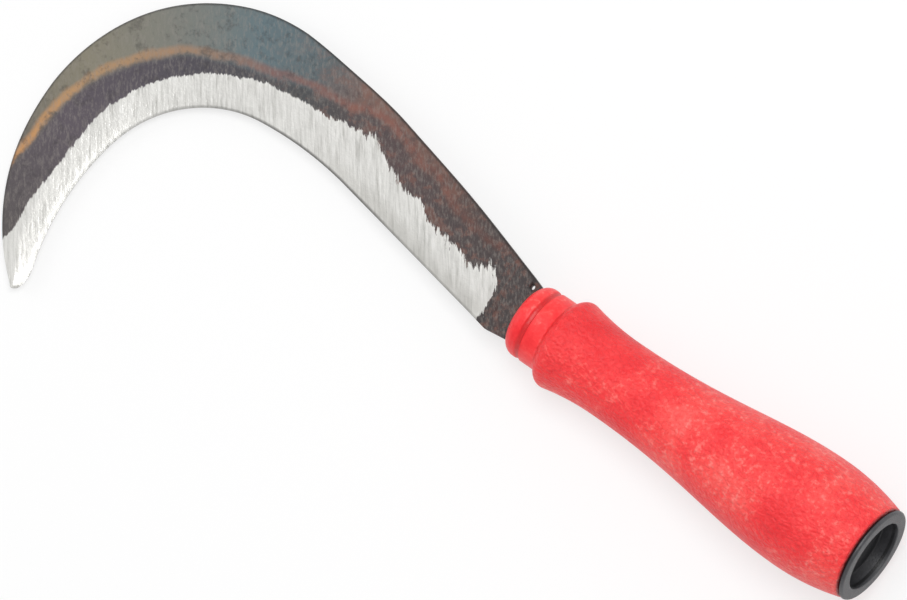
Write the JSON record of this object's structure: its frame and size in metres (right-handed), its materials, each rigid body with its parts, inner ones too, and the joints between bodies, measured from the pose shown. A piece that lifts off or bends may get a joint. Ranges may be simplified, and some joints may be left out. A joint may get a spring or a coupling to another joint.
{
  "type": "billhook",
  "caption": "Forged hook-blade billhook with a sickle-shaped ground edge and a turned-profile red plastic handle closed by a black end cap.",
  "frame": {"origin": "middle of the end cap's rim face, on the handle's axis", "axes": "+X runs along the handle to the blade, +Y points to the cutting side of the hook, +Z stands square to the blade's flat"},
  "size_m": [0.3149, 0.1196, 0.0398],
  "materials": {
    "blade_steel": "dark tempered scale on the body, bright ground bevel with fine scratches across the edge",
    "handle_plastic": "moulded red plastic with a fine leather-like grain",
    "washer_steel": "plain pressed steel",
    "cap_plastic": "satin black plastic"
  },
  "bodies": {
    "root": {"blade": "blade_steel", "handle": "handle_plastic", "tang_washer": "washer_steel", "end_cap": "cap_plastic"}
  },
  "joints": []
}
